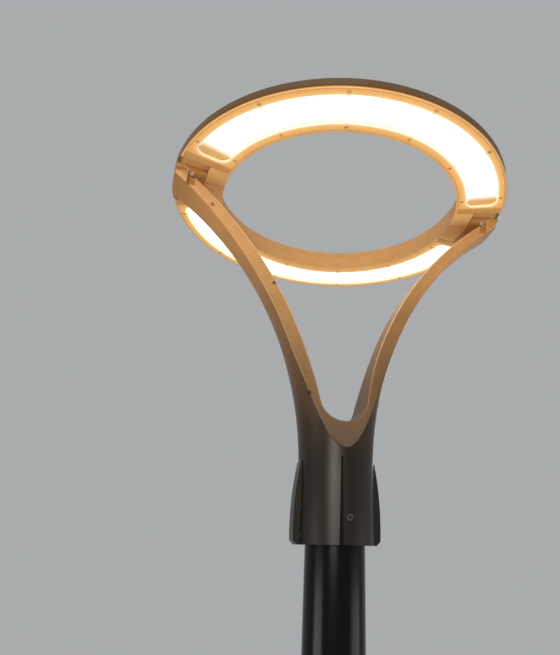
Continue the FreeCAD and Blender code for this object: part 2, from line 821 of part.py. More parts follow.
def ear_screws():
    seat, past = size("ear_head_seat"), size("ear_half")
    radius, place = size("ear_screw_radius"), number(EAR_PLACE)
    screw = socket_screw(radius, seat + past, size("ear_head_radius"), 2 * radius)
    solids = [aimed(screw, (-place, -seat, number(level)), REAR) for level in LEFT_EAR]
    solids += [aimed(screw, (place, seat, number(level)), FRONT) for level in RIGHT_EAR]
    group("ear_screws", solids, FORK_FOOT)


def arm_screws():
    radius, head = size("arm_screw_radius"), size("arm_head_radius")
    solids = []
    for sign, side, direction in ((-1, "front", REAR), (1, "rear", FRONT)):
        for height, inset in ARM_SCREWS[side]:
            spot, seat = number(inner_flare(height, inset)), number(screw_seat(side, height))
            screw = socket_screw(radius, seat + number(SCREW_TIP[OTHER[side]]), head, 2 * radius)
            solids.append(aimed(screw, (sign * spot, sign * seat, number(height)), direction))
    group("arm_screws", solids, FORK_FOOT)


def set_screws():
    radius, offset, level = size("set_screw_radius"), size("set_screw_offset"), size("set_screw_height")
    tip = size("pole_radius") + 2 * size("bore_clearance")
    length = size("collar_radius") - tip
    screw = Part.makeCylinder(radius, length)
    screw = screw.cut(hexagon(radius * SOCKET_SHARE, length / 2))
    solids = []
    for sign, direction in ((1, REAR), (-1, FRONT)):
        solids.append(aimed(screw, (sign * offset, -sign * (tip + length), level), direction))
    group("pole_set_screws", solids, FORK_FOOT)


# Ring: two housings that meet over the arms, with a light module in each

RING_INNER = "(dims.ring_radius - dims.ring_width)"
RING_TOP = "(%s + dims.inner_lean)" % RING_INNER
RECESS_INNER = "(dims.ring_radius - dims.recess_width)"
FLOOR_TOP = "(dims.recess_depth + dims.floor_thick)"
WALL_SLOPE = "(dims.inner_lean / dims.ring_depth)"
TRAY_OUTER = "(dims.ring_radius - dims.ring_wall)"
TRAY_INNER = "(%s + dims.ring_wall + %s * dims.bezel_thick)" % (RING_INNER, WALL_SLOPE)
TRAY_BACK = "(%s + dims.ring_wall + %s * dims.tray_depth)" % (RING_INNER, WALL_SLOPE)
GROMMET = "(dims.lead_radius + dims.grommet_wall)"
HOUSING_ANGLE = {
    "front": "(90 - dims.seam_angle - dims.seam_gap)",
    "rear": "(90 + dims.seam_angle - dims.seam_gap)",
}
MODULE_ANGLE = {"front": "(90 - dims.front_zone)", "rear": "(90 - dims.rear_zone)"}
WINDOW_OUTER = "(dims.ring_radius - dims.window_rim)"
WINDOW_INNER = "(%s + dims.window_heel)" % RING_INNER
SCREW_RINGS = ("(dims.ring_radius - dims.screw_rim)", "(%s + dims.screw_heel)" % RING_INNER)
LENS_OUTER = "(%s + dims.lens_margin)" % WINDOW_OUTER
LENS_INNER = "(%s - dims.lens_margin)" % WINDOW_INNER
BOARD_OUTER = "(%s - dims.board_margin)" % WINDOW_OUTER
BOARD_INNER = "(%s + dims.board_margin)" % WINDOW_INNER
BOARD_FACE = "(dims.tray_depth - dims.board_thick)"
LENS_FOOT = "(dims.bezel_thick + dims.gasket_thick)"


def window_angle(side):
    return "(%s - dims.window_end)" % MODULE_ANGLE[side]


def lens_angle(side):
    return "(%s - dims.window_end + dims.lens_end)" % MODULE_ANGLE[side]


def board_angle(side):
    return "(%s - dims.window_end - dims.board_end)" % MODULE_ANGLE[side]


def first_screw(side):
    return "(dims.screw_end - %s)" % MODULE_ANGLE[side]


def screw_step(side):
    return "(2 * (%s - dims.screw_end) / (dims.bezel_screw_count - 1))" % MODULE_ANGLE[side]


def ring_section(body, side):
    # The arm's recess runs all along, and the lip and the lamp tray fill the module's length.
    full, module = "2 * " + HOUSING_ANGLE[side], "2 * " + MODULE_ANGLE[side]
    section = sketch_on(body, "YZ_Plane", "section")
    corners = [
        ("-" + RING_INNER, "0"),
        ("-" + RING_TOP, "dims.ring_depth"),
        ("-(%s + dims.crest_width)" % RING_TOP, "dims.ring_depth"),
        ("-dims.ring_radius", "dims.rim_height"),
        ("-dims.ring_radius", "dims.recess_depth"),
        ("-" + RECESS_INNER, "dims.recess_depth"),
        ("-" + RECESS_INNER, "0"),
    ]
    outline(section, corners, {2: ("dims.dome_bend", 1)})
    turned(body, section, full)
    lip = sketch_on(body, "YZ_Plane", "lip")
    corners = [
        ("-dims.ring_radius", "dims.rim_chamfer"),
        ("-(dims.ring_radius - dims.rim_chamfer)", "0"),
        ("-" + RECESS_INNER, "0"),
        ("-" + RECESS_INNER, FLOOR_TOP),
        ("-dims.ring_radius", FLOOR_TOP),
    ]
    outline(lip, corners)
    turned(body, lip, module)
    tray = sketch_on(body, "YZ_Plane", "tray")
    below = "(-dims.floor_thick)"
    corners = [
        ("-" + TRAY_INNER, below),
        ("-" + TRAY_INNER, "dims.bezel_thick"),
        ("-" + TRAY_BACK, "dims.tray_depth"),
        ("-" + TRAY_OUTER, "dims.tray_depth"),
        ("-" + TRAY_OUTER, below),
    ]
    outline(tray, corners)
    turned(body, tray, module, "Groove")
    room = sketch_on(body, "YZ_Plane", "splice_room")
    outline(room, box_corners("-" + TRAY_OUTER, FLOOR_TOP, "-" + RECESS_INNER, "dims.tray_depth"))
    turned(body, room, full, "Groove")


def arm_zone_holes(body, side):
    holes = sketch_on(body, "XY_Plane", "zone_holes")
    for sign in ("", "-"):
        circle(holes, sign + MOUNT_PLACE, "-" + MOUNT_OUT[side], MOUNT_HOLE)
        if side == "rear":
            circle(holes, sign + LEAD_PLACE, "dims.lead_out", GROMMET)
    cut(body, holes, FLOOR_TOP, 1)


def screw_bosses(body, side):
    bosses = sketch_on(body, "XY_Plane", "bosses", "dims.bezel_thick")
    for radius in SCREW_RINGS:
        x, y = polar(radius, first_screw(side))
        circle(bosses, x, y, "dims.boss_radius")
        circle(bosses, x, y, "dims.bezel_screw_radius + dims.screw_clearance")
    boss = pad(body, bosses, "dims.tray_depth - dims.bezel_thick")
    around(body, [boss], "dims.bezel_screw_count", screw_step(side))


def driver_edges():
    inner = "(%s + dims.driver_inset)" % RING_TOP
    return inner, "(%s + dims.driver_width)" % inner


def driver_pocket(body):
    plan = sketch_on(body, "XY_Plane", "driver", "dims.tray_depth")
    inner, outer = driver_edges()
    half = "(dims.driver_length / 2 + dims.driver_gap)"
    near, far = "(-%s - dims.driver_gap)" % outer, "(-%s + dims.driver_gap)" % inner
    outline(plan, box_corners("-" + half, near, half, far))
    cut(body, plan, "dims.driver_height", 1)


def ring_housing(side, turn):
    body = new_body(side + "_ring_housing")
    ring_section(body, side)
    arm_zone_holes(body, side)
    screw_bosses(body, side)
    driver_pocket(body)
    stand(body, RING_FOOT, turn)


def bezel(side, turn):
    # The cover that frames the lens, with a small tab at each screw.
    body = new_body(side + "_bezel")
    plan = sketch_on(body, "XY_Plane", "plan")
    outer, inner = "(%s - dims.bezel_gap)" % TRAY_OUTER, "(%s + dims.bezel_gap)" % TRAY_INNER
    front_sector(plan, inner, outer, "(%s - dims.bezel_gap)" % MODULE_ANGLE[side])
    pad(body, plan, "dims.bezel_thick")
    window = sketch_on(body, "XY_Plane", "window")
    front_sector(window, WINDOW_INNER, WINDOW_OUTER, window_angle(side))
    framed = cut(body, window, "dims.bezel_thick", 1)
    rims = (number(WINDOW_OUTER), number(WINDOW_INNER))
    at_window = lambda spot: min(abs(math.hypot(spot.x, spot.y) - rim) for rim in rims) < TOUCH
    round_uprights(body, framed, "dims.window_corner", at_window)
    tabs = sketch_on(body, "XY_Plane", "tabs")
    middles = (
        "(%s - dims.tab_bite + dims.tab_radius)" % WINDOW_OUTER,
        "(%s + dims.tab_bite - dims.tab_radius)" % WINDOW_INNER,
    )
    for middle in middles:
        circle(tabs, *polar(middle, first_screw(side)), "dims.tab_radius")
    tab = pad(body, tabs, "dims.bezel_thick")
    around(body, [tab], "dims.bezel_screw_count", screw_step(side))
    cuts = []
    bores = (
        ("dims.bezel_screw_radius", "dims.bezel_thick"),
        ("dims.bezel_head_radius", "dims.bezel_head_depth"),
    )
    for radius, depth in bores:
        holes = sketch_on(body, "XY_Plane", "holes")
        for ring in SCREW_RINGS:
            circle(holes, *polar(ring, first_screw(side)), radius + " + dims.screw_clearance")
        cuts.append(cut(body, holes, depth, 1))
    around(body, cuts, "dims.bezel_screw_count", screw_step(side))
    stand(body, RING_FOOT, turn)


def flat_sector(label, turn, shape, foot, thick, opening=None):
    body = new_body(label)
    plan = sketch_on(body, "XY_Plane", "plan", foot)
    front_sector(plan, *shape)
    if opening:
        front_sector(plan, *opening)
    pad(body, plan, thick)
    stand(body, RING_FOOT, turn)


def light_module(side, turn):
    window = (WINDOW_INNER, WINDOW_OUTER, window_angle(side))
    pane = (LENS_INNER, LENS_OUTER, lens_angle(side))
    board = (BOARD_INNER, BOARD_OUTER, board_angle(side))
    flat_sector(side + "_lens_gasket", turn, pane, "dims.bezel_thick", "dims.gasket_thick", window)
    flat_sector(side + "_lens", turn, pane, LENS_FOOT, "dims.lens_thick")
    flat_sector(side + "_led_board", turn, board, BOARD_FACE, "dims.board_thick")


def leds(side, turn):
    wide, thick = size("led_side"), size("led_thick")
    rows = (number(BOARD_INNER) + size("led_row_inset"), number(BOARD_OUTER) - size("led_row_inset"))
    columns = int(size("led_columns"))
    end = number(board_angle(side)) - size("led_end")
    chips = []
    for radius in rows:
        for column in range(columns):
            corner = FreeCAD.Vector(-wide / 2, -radius - wide / 2, number(BOARD_FACE) - thick)
            chip = Part.makeBox(wide, wide, thick, corner)
            swing = (2 * column / (columns - 1) - 1) * end
            chip.rotate(FreeCAD.Vector(0, 0, 0), FreeCAD.Vector(0, 0, 1), swing)
            chips.append(chip)
    group(side + "_leds", chips, RING_FOOT, turn)


def driver(side, turn):
    outer = driver_edges()[1]
    long, wide, tall = size("driver_length"), size("driver_width"), size("driver_height")
    corner = FreeCAD.Vector(-long / 2, -number(outer), size("tray_depth"))
    group(side + "_led_driver", [Part.makeBox(long, wide, tall, corner)], RING_FOOT, turn)


def bezel_screws(side, turn):
    seat = size("bezel_head_depth")
    length = size("tray_depth") - seat - size("gasket_thick")
    screw = socket_screw(size("bezel_screw_radius"), length, size("bezel_head_radius"), seat)
    solids = []
    for ring in SCREW_RINGS:
        for place in range(int(size("bezel_screw_count"))):
            angle = math.radians(number(first_screw(side)) + place * number(screw_step(side)))
            spot = (number(ring) * math.sin(angle), -number(ring) * math.cos(angle), seat)
            solids.append(aimed(screw, spot, (0, 0, 1)))
    group(side + "_bezel_screws", solids, RING_FOOT, turn)


def ring_splice(side, sign):
    # A plate inside the ring that bridges both housings over an arm's head.
    body = new_body(side + "_ring_splice")
    plan = sketch_on(body, "XY_Plane", "plan", FLOOR_TOP)
    inner = "(%s + dims.splice_heel)" % RECESS_INNER
    outer = "(%s - dims.splice_gap)" % TRAY_OUTER
    front = "(90 - dims.front_zone + dims.splice_end)"
    rear = "(90 + dims.rear_zone + dims.splice_end)"
    angles = ("-" + rear, "-" + front) if sign else (front, rear)
    sector(plan, inner, outer, *angles)
    circle(plan, sign + LEAD_PLACE, "-dims.lead_out", GROMMET)
    circle(plan, sign + MOUNT_PLACE, "-dims.front_mount_out", MOUNT_HOLE)
    circle(plan, sign + MOUNT_PLACE, "dims.rear_mount_out", MOUNT_HOLE)
    pad(body, plan, "dims.tray_depth - %s" % FLOOR_TOP)
    stand(body, RING_FOOT)


def ring_mount_screws():
    seat, radius = -size("plate_drop"), size("mount_screw_radius")
    length = size("tray_depth") - seat
    screw = socket_screw(radius, length, size("mount_head_radius"), radius)
    x = number(MOUNT_PLACE)
    solids = []
    for y in (-size("front_mount_out"), size("rear_mount_out")):
        for sign in (1, -1):
            solids.append(aimed(screw, (sign * x, y, seat), (0, 0, 1)))
    group("ring_mount_screws", solids, RING_FOOT)


def lead_grommets():
    outer = number(GROMMET) - size("screw_clearance")
    foot, length = size("recess_depth"), size("tray_depth") - size("recess_depth")
    solids = []
    for sign in (1, -1):
        place = FreeCAD.Vector(sign * number(LEAD_PLACE), -size("lead_out"), foot)
        ring = Part.makeCylinder(outer, length, place)
        solids.append(ring.cut(Part.makeCylinder(size("grommet_bore"), length, place)))
    group("lead_grommets", solids, RING_FOOT)


base_plate()
base_gussets()
pole_tube()
access_door()
door_clamp_bar()
door_screws()
terminal_bracket()
terminal_block()
for half, half_turn in HALVES:
    fork_shell(half, half_turn)
ear_screws()
arm_screws()
set_screws()
for half, half_turn in HALVES:
    ring_housing(half, half_turn)
    bezel(half, half_turn)
    light_module(half, half_turn)
    leds(half, half_turn)
    driver(half, half_turn)
    bezel_screws(half, half_turn)
ring_splice("right", "")
ring_splice("left", "-")
ring_mount_screws()
lead_grommets()
doc.recompute()

# Every feature has to be sound before anything is written.
for item in doc.Objects:
    if "Invalid" in item.State or "Error" in item.State:
        raise ValueError("failed feature: " + item.Label)
for piece in pieces:
    if piece.Shape.isNull() or not piece.Shape.isValid():
        raise ValueError("bad shape: " + piece.Label)

os.makedirs("parts", exist_ok=True)
for piece in pieces:
    piece.Shape.exportStep("parts/%s.step" % piece.Label)
    box = piece.Shape.BoundBox
    spans = (box.XMin, box.XMax, box.YMin, box.YMax, box.ZMin, box.ZMax)
    print(piece.Label, len(piece.Shape.Solids), " ".join("%.1f" % value for value in spans))
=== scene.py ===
import math
import bmesh
import bpy
from mathutils import Matrix, Vector


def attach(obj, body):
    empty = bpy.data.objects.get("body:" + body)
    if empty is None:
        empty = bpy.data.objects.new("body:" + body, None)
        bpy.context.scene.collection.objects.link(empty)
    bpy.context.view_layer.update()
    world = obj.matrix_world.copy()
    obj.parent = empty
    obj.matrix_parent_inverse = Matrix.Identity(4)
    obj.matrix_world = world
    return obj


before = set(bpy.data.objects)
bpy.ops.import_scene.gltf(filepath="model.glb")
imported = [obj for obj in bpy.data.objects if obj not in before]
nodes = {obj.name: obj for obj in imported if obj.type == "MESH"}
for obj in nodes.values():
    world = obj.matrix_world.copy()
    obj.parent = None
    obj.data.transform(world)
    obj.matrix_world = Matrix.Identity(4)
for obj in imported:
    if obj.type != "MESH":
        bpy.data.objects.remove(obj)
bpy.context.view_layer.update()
scene = bpy.context.scene
print("frame loaded:", len(nodes), "CAD nodes")


class Sock:  # a node socket that takes part in Python maths
    def __init__(self, graph, socket):
        self.graph = graph
        self.socket = socket

    def math(self, operation, *values):
        return self.graph.add("ShaderNodeMath", {"operation": operation}, dict(enumerate(values)))

    def __add__(self, other):
        return self.math("ADD", self, other)

    def __radd__(self, other):
        return self.math("ADD", other, self)

    def __sub__(self, other):
        return self.math("SUBTRACT", self, other)

    def __rsub__(self, other):
        return self.math("SUBTRACT", other, self)

    def __mul__(self, other):
        return self.math("MULTIPLY", self, other)

    def __rmul__(self, other):
        return self.math("MULTIPLY", other, self)

    def __abs__(self):
        return self.math("ABSOLUTE", self)

    def root(self):
        return self.math("SQRT", self)

    def atLeast(self, low):
        return self.math("MAXIMUM", self, low)

    def atMost(self, high):
        return self.math("MINIMUM", self, high)

    def turnFrom(self, other):  # angle in degrees, 0 along other's axis
        return self.math("ARCTAN2", self, other) * math.degrees(1)

    def share(self, low, high):  # 0 at low, 1 at high, not clamped
        return (self - low) * (1 / (high - low))

    def step(self, low, high):  # 0 below low, 1 above high, smooth between
        settings = {"interpolation_type": "SMOOTHSTEP"}
        return self.graph.add("ShaderNodeMapRange", settings, {0: self, 1: low, 2: high})

    def fall(self, low, high):  # 1 below low, 0 above high
        return 1 - self.step(low, high)


surface = {"mottleDetail": 4, "mottleRange": (0.3, 0.75), "mottleColour": (0.0, 0.0, 0.0), "grainDetail": 3}


class Finish:  # one node material with a Principled shader
    def __init__(self, name, **fixed):
        self.material = bpy.data.materials.new(name)
        self.material.use_nodes = True
        self.tree = self.material.node_tree
        self.shader = self.tree.nodes["Principled BSDF"]
        for label, value in fixed.items():
            self.shader.inputs[label.replace("_", " ")].default_value = value

    def add(self, kind, settings=None, values=None, out=0):
        node = self.tree.nodes.new(kind)
        for label, value in (settings or {}).items():
            if label == "stops":
                self.setStops(node.color_ramp, value)
            else:
                setattr(node, label, value)
        for label, value in (values or {}).items():
            self.feed(node.inputs[label], value)
        return Sock(self, node.outputs[out])

    def setStops(self, ramp, stops):
        while len(ramp.elements) < len(stops):
            ramp.elements.new(1.0)
        for element, (place, colour) in zip(ramp.elements, stops):
            element.position = place
            element.color = (*colour, 1)

    def feed(self, socket, value):
        if isinstance(value, Sock):
            self.tree.links.new(value.socket, socket)
        elif isinstance(value, tuple) and len(value) == 3 and socket.type == "RGBA":
            socket.default_value = (*value, 1)
        else:
            socket.default_value = value

    def set(self, **links):
        for label, value in links.items():
            self.feed(self.shader.inputs[label.replace("_", " ")], value)

    def place(self):
        return self.add("ShaderNodeTexCoord", out="Object")

    def xyz(self):
        split = self.add("ShaderNodeSeparateXYZ", None, {0: self.place()})
        return [Sock(self, output) for output in split.socket.node.outputs]

    def noise(self, scale, detail=2):
        values = {"Vector": self.place(), "Scale": scale, "Detail": detail}
        return self.add("ShaderNodeTexNoise", None, values)

    def blend(self, factor, first, second):
        values = {0: factor, 6: first, 7: second}  # the Mix node's colour sockets
        return self.add("ShaderNodeMix", {"data_type": "RGBA"}, values, out=2)

    def ramp(self, value, stops):
        return self.add("ShaderNodeValToRGB", {"stops": stops}, {0: value})

    def shade(self, colour, amount, scale):  # darkens a colour here and there
        patches = self.noise(scale, surface["mottleDetail"]).step(*surface["mottleRange"])
        return self.blend(amount * patches, colour, surface["mottleColour"])

    def grain(self, scale, strength, depth, rough, spread):  # fine bumps with a matching gloss
        fine = self.noise(scale, surface["grainDetail"])
        values = {"Height": fine, "Strength": strength, "Distance": depth}
        self.set(Normal=self.add("ShaderNodeBump", None, values))
        self.set(Roughness=fine * spread + (rough - spread / 2))


def dress(finish, *names):
    for name in names:
        mesh = nodes[name].data
        mesh.materials.clear()
        mesh.materials.append(finish.material)


def distance(first, second):
    return (first * first + second * second).root()


def flareReach(height, start, rise, bend):  # how far a round flare has opened at a height
    climb = (height - start).atLeast(0).atMost(rise)
    return bend - (bend ** 2 - climb * climb).root()


# powder coat of the fork, dark at the collar and darker on its round outside; painted lamp light turns it
# gold towards the ring, with painted shade on the right arm
fork = {
    "specular": 0.35, "specularTint": (1.0, 0.88, 0.76, 1.0),
    "foot": 1.6, "top": 2.1, "drift": 0.02, "driftScale": 9, "driftMiddle": 0.5,
    "collar": 0.0495, "flareStart": 1.686, "flareRise": 0.401, "flareBend": 0.48986,
    "edge": (0.0003, 0.0006), "rightArmShade": (0.02, 0.06),
    "gapHalf": 0.0231, "gapStart": 1.683, "gapRise": 0.45, "gapBend": 0.49962,
    "crotch": 0.03225, "crotchMiddle": 1.78125, "crotchEnd": (1.77479, 1.77579),
    "lineStart": (0.0003, 0.0008), "lineEnd": (0.0018, 0.0026), "lineShare": 0.8,
    "mottle": {"amount": 0.1, "scale": 60},
    "grain": {"scale": 900, "strength": 0.12, "depth": 0.0004, "rough": 0.35, "spread": 0.12},
}
# painted lamp light on the round outside: gold towards the ring, dark at the collar
fork["outside"] = (
    (0.0, (0.005, 0.004, 0.003)),
    (0.2, (0.008, 0.005, 0.003)),
    (0.29, (0.021, 0.011, 0.004)),
    (0.44, (0.100, 0.047, 0.014)),
    (0.62, (0.258, 0.116, 0.031)),
    (0.8, (0.495, 0.218, 0.055)),
    (0.88, (0.560, 0.250, 0.063)),
    (1.0, (0.360, 0.160, 0.042)),
)
# painted lamp light on the faces: gold towards the ring
fork["face"] = (
    (0.0, (0.030, 0.024, 0.019)),
    (0.2, (0.076, 0.056, 0.040)),
    (0.3, (0.130, 0.073, 0.036)),
    (0.4, (0.180, 0.095, 0.038)),
    (0.5, (0.240, 0.124, 0.045)),
    (0.66, (0.368, 0.189, 0.058)),
    (0.8, (0.455, 0.216, 0.062)),
    (1.0, (0.455, 0.216, 0.060)),
)
# the right arm's faces, with painted shade in the middle and more painted lamp light at the top
fork["faceRight"] = (
    (0.0, (0.030, 0.024, 0.019)),
    (0.2, (0.076, 0.056, 0.040)),
    (0.3, (0.088, 0.047, 0.022)),
    (0.4, (0.116, 0.059, 0.023)),
    (0.5, (0.176, 0.090, 0.036)),
    (0.66, (0.272, 0.135, 0.046)),
    (0.8, (0.450, 0.215, 0.070)),
    (1.0, (0.600, 0.290, 0.090)),
)
fork["inner"] = (  # the faces between the arms, with painted lamp light towards the ring
    (0.25, (0.085, 0.034, 0.006)),
    (0.4, (0.155, 0.063, 0.010)),
    (0.6, (0.340, 0.155, 0.040)),
    (1.0, (0.560, 0.270, 0.085)),
)
fork["line"] = (  # a painted highlight along the edge beside them
    (0.25, (0.130, 0.070, 0.035)),
    (0.4, (0.270, 0.150, 0.072)),
    (0.6, (0.680, 0.430, 0.220)),
    (1.0, (1.000, 0.680, 0.360)),
)
forkCoat = Finish("forkCoat", Specular_IOR_Level=fork["specular"], Specular_Tint=fork["specularTint"])
forkX, forkY, forkZ = forkCoat.xyz()
forkRise = forkZ.share(fork["foot"], fork["top"])
forkRise = forkRise + (forkCoat.noise(fork["driftScale"]) - fork["driftMiddle"]) * fork["drift"]
forkFlare = flareReach(forkZ, fork["flareStart"], fork["flareRise"], fork["flareBend"])
forkInside = forkFlare + fork["collar"] - distance(forkX, forkY)
gapFlare = flareReach(forkZ, fork["gapStart"], fork["gapRise"], fork["gapBend"])
gapSide = abs(forkX) - gapFlare - fork["gapHalf"]
gapRound = distance(forkX, forkZ - fork["crotchMiddle"]) - fork["crotch"]
gapAway = gapRound + (gapSide - gapRound) * forkZ.step(*fork["crotchEnd"])
# painted lamp light: each ramp turns gold towards the ring
forkLeftPaintedLight = forkCoat.ramp(forkRise, fork["face"])
# painted shade on the right arm
forkRightPaintedLight = forkCoat.ramp(forkRise, fork["faceRight"])
forkFacePaintedLight = forkCoat.blend(forkX.step(*fork["rightArmShade"]), forkLeftPaintedLight, forkRightPaintedLight)
forkInnerPaintedLight = forkCoat.ramp(forkRise, fork["inner"])
forkFacePaintedLight = forkCoat.blend(gapAway.fall(*fork["lineStart"]), forkFacePaintedLight, forkInnerPaintedLight)
# painted highlight along the inner edge, beside the faces between the arms
edgeHighlightMask = fork["lineShare"] * gapAway.step(*fork["lineStart"]) * gapAway.fall(*fork["lineEnd"])
forkFacePaintedLight = forkCoat.blend(edgeHighlightMask, forkFacePaintedLight, forkCoat.ramp(forkRise, fork["line"]))
forkOutsidePaintedLight = forkCoat.ramp(forkRise, fork["outside"])
forkCoatAndPaintedLight = forkCoat.blend(forkInside.step(*fork["edge"]), forkOutsidePaintedLight, forkFacePaintedLight)
forkCoat.set(Base_Color=forkCoat.shade(forkCoatAndPaintedLight, **fork["mottle"]))
forkCoat.grain(**fork["grain"])
dress(forkCoat, "front_fork_shell", "rear_fork_shell")

# arm screws, coated with the fork, with its painted lamp light by height
armScrew = {
    "specular": 0.3,
    "mottle": {"amount": 0.3, "scale": 220},
    "grain": {"scale": 1200, "strength": 0.12, "depth": 0.0004, "rough": 0.4, "spread": 0.12},
}
screwCoat = Finish("screwCoat", Specular_IOR_Level=armScrew["specular"])
screwRise = screwCoat.xyz()[2].share(fork["foot"], fork["top"])
screwPaintedLight = screwCoat.ramp(screwRise, fork["outside"])
screwCoat.set(Base_Color=screwCoat.shade(screwPaintedLight, **armScrew["mottle"]))
screwCoat.grain(**armScrew["grain"])
dress(screwCoat, "arm_screws")

# powder coat of the ring's housings, dark on the rim and the dome; the gold below and inside is painted
# lamp light, and the rim carries painted light and shade and a painted shadow line
ring = {
    "specular": 0.16,
    # under and inner are gold painted lamp light; side and front are lighter and darker copies of the rim's
    # coat, painted light and shade
    "under": (0.92, 0.50, 0.175), "inner": (0.62, 0.315, 0.108), "side": (0.24, 0.125, 0.046),
    "front": (0.100, 0.062, 0.027), "top": (0.105, 0.066, 0.032), "facingShade": (-0.02, 0.2),
    "foot": 2.093, "underside": (0.0002, 0.0022), "dome": (0.0125, 0.0150),
    "hole": 0.184, "lean": 0.25122, "innerWall": (0.001, 0.003), "recess": (0.250, 0.256),
    # lip is a painted shadow line above the rim's lower edge
    "lip": (0.12, 0.035, 0.004), "lipTop": (0.0035, 0.0055),
    "mottle": {"amount": 0.1, "scale": 50},
    "grain": {"scale": 900, "strength": 0.12, "depth": 0.0004, "rough": 0.42, "spread": 0.12},
}
ringCoat = Finish("ringCoat", Specular_IOR_Level=ring["specular"])
ringX, ringY, ringZ = ringCoat.xyz()
ringRadius = distance(ringX, ringY)
ringRise = ringZ - ring["foot"]
ringAway = ringRadius - ringRise * ring["lean"] - ring["hole"]  # distance from the leaning inner wall
# painted light and shade: lighter on the rim's sides, darker on its part towards -y
ringCoatAndPaintedLight = ringCoat.blend((0 - ringY).step(*ring["facingShade"]), ring["side"], ring["front"])
# painted shadow line above the rim's lower edge
ringCoatAndPaintedLight = ringCoat.blend(ringRise.step(*ring["lipTop"]), ring["lip"], ringCoatAndPaintedLight)
# painted lamp light in the recesses inside the rim
ringCoatAndPaintedLight = ringCoat.blend(ringRadius.step(*ring["recess"]), ring["inner"], ringCoatAndPaintedLight)
ringCoatAndPaintedLight = ringCoat.blend(ringRise.step(*ring["dome"]), ringCoatAndPaintedLight, ring["top"])
# painted lamp light on the inner wall
ringCoatAndPaintedLight = ringCoat.blend(ringAway.step(*ring["innerWall"]), ring["inner"], ringCoatAndPaintedLight)
# painted lamp light on the underside
ringCoatAndPaintedLight = ringCoat.blend(ringRise.step(*ring["underside"]), ring["under"], ringCoatAndPaintedLight)
ringCoat.set(Base_Color=ringCoat.shade(ringCoatAndPaintedLight, **ring["mottle"]))
ringCoat.grain(**ring["grain"])
dress(ringCoat, "front_ring_housing", "rear_ring_housing")

# cover frames, with a painted glow and painted lamp light beside the windows, a painted highlight at their
# edge, and darker past their ends with less painted light
cover = {
    "specular": 0.2, "strength": 1.0, "paintedGlowReach": 0.010, "unlit": (0.0, 0.0, 0.0),
    "edge": (1.0, 0.86, 0.58), "near": (1.0, 0.56, 0.20), "far": (1.0, 0.50, 0.155),
    "end": (0.72, 0.36, 0.118), "endFade": 0.008,
    "window": (0.1987, 0.2454), "frontEnd": 68.9, "rearEnd": 78.6, "rearSide": (-0.001, 0.001),
    "corner": 0.014, "haloHighlight": 0.0022, "spread": 0.007,
    "mottle": {"amount": 0.08, "scale": 50},
    "grain": {"scale": 900, "strength": 0.12, "depth": 0.0004, "rough": 0.42, "spread": 0.12},
}
cover["glow"] = (
    (0.0, (0.26, 0.21, 0.12)),
    (0.2, (0.24, 0.17, 0.07)),
    (0.5, (0.17, 0.10, 0.035)),
    (1.0, (0.12, 0.065, 0.02)),
)
coverCoat = Finish("coverCoat", Specular_IOR_Level=cover["specular"], Emission_Strength=cover["strength"])
coverX, coverY = coverCoat.xyz()[:2]
windowInner, windowOuter = cover["window"]
coverMiddle = (windowInner + windowOuter) / 2
coverHalf = (windowOuter - windowInner) / 2
coverAngle = abs(coverX).turnFrom(abs(coverY))
coverEnd = cover["frontEnd"] + coverY.step(*cover["rearSide"]) * (cover["rearEnd"] - cover["frontEnd"])
coverLong = (coverAngle - coverEnd) * math.radians(coverMiddle) + cover["corner"]
coverWide = abs(distance(coverX, coverY) - coverMiddle) - (coverHalf - cover["corner"])
coverAway = distance(coverLong.atLeast(0), coverWide.atLeast(0)) - cover["corner"]
# painted light from the window: lighter next to it, less farther off
coverCoatAndPaintedLight = coverCoat.blend(coverAway.step(0, cover["spread"]), cover["near"], cover["far"])
# painted highlight at the window's edge
coverCoatAndPaintedLight = coverCoat.blend(coverAway.step(0, cover["haloHighlight"]), cover["edge"], coverCoatAndPaintedLight)
coverPast = coverLong.step(cover["corner"], cover["corner"] + cover["endFade"])
# less painted light past the window ends
coverCoatAndPaintedLight = coverCoat.blend(coverPast, coverCoatAndPaintedLight, cover["end"])
# painted glow beside the windows, none past their ends
coverPaintedGlow = coverCoat.ramp(coverAway.share(0, cover["paintedGlowReach"]), cover["glow"])
coverCoat.set(Emission_Color=coverCoat.blend(coverPast, coverPaintedGlow, cover["unlit"]))
coverCoat.set(Base_Color=coverCoat.shade(coverCoatAndPaintedLight, **cover["mottle"]))
coverCoat.grain(**cover["grain"])
dress(coverCoat, "front_bezel", "rear_bezel")

# black coat of the post, a little dusty at its foot
post = {
    "specular": 0.16,
    "coat": (0.0012, 0.0011, 0.001), "dust": (0.07, 0.062, 0.052), "dustTop": 0.3,
    "dustScale": 14, "dustDetail": 5, "dustRange": (0.35, 0.75), "dustShare": 0.6,
    "grain": {"scale": 1100, "strength": 0.15, "depth": 0.0004, "rough": 0.19, "spread": 0.06},
}
postCoat = Finish("postCoat", Specular_IOR_Level=post["specular"])
postLow = postCoat.xyz()[2].fall(0.0, post["dustTop"])
dustPatches = postCoat.noise(post["dustScale"], post["dustDetail"]).step(*post["dustRange"])
postDust = post["dustShare"] * postLow * dustPatches
postCoat.set(Base_Color=postCoat.blend(postDust, post["coat"], post["dust"]))
postCoat.grain(**post["grain"])
dress(postCoat, "base_plate", "base_gussets", "pole_tube", "access_door")

# lit windows, with an unlit pocket at each end
pane = {
    "rough": 0.35, "strength": 1.9, "inner": 0.1987, "outer": 0.2454, "rim": 0.0035,
    "lit": (1.0, 0.95, 0.86), "warm": (0.60, 0.47, 0.30), "pocket": (0.16, 0.088, 0.030),
    "body": (0.8, 0.74, 0.62), "bodyPocket": (0.5, 0.28, 0.10),
    "frontPocket": (59.5, 67.0), "rearPocket": (77.5, 79.5),  # degrees from the middle of the window
}


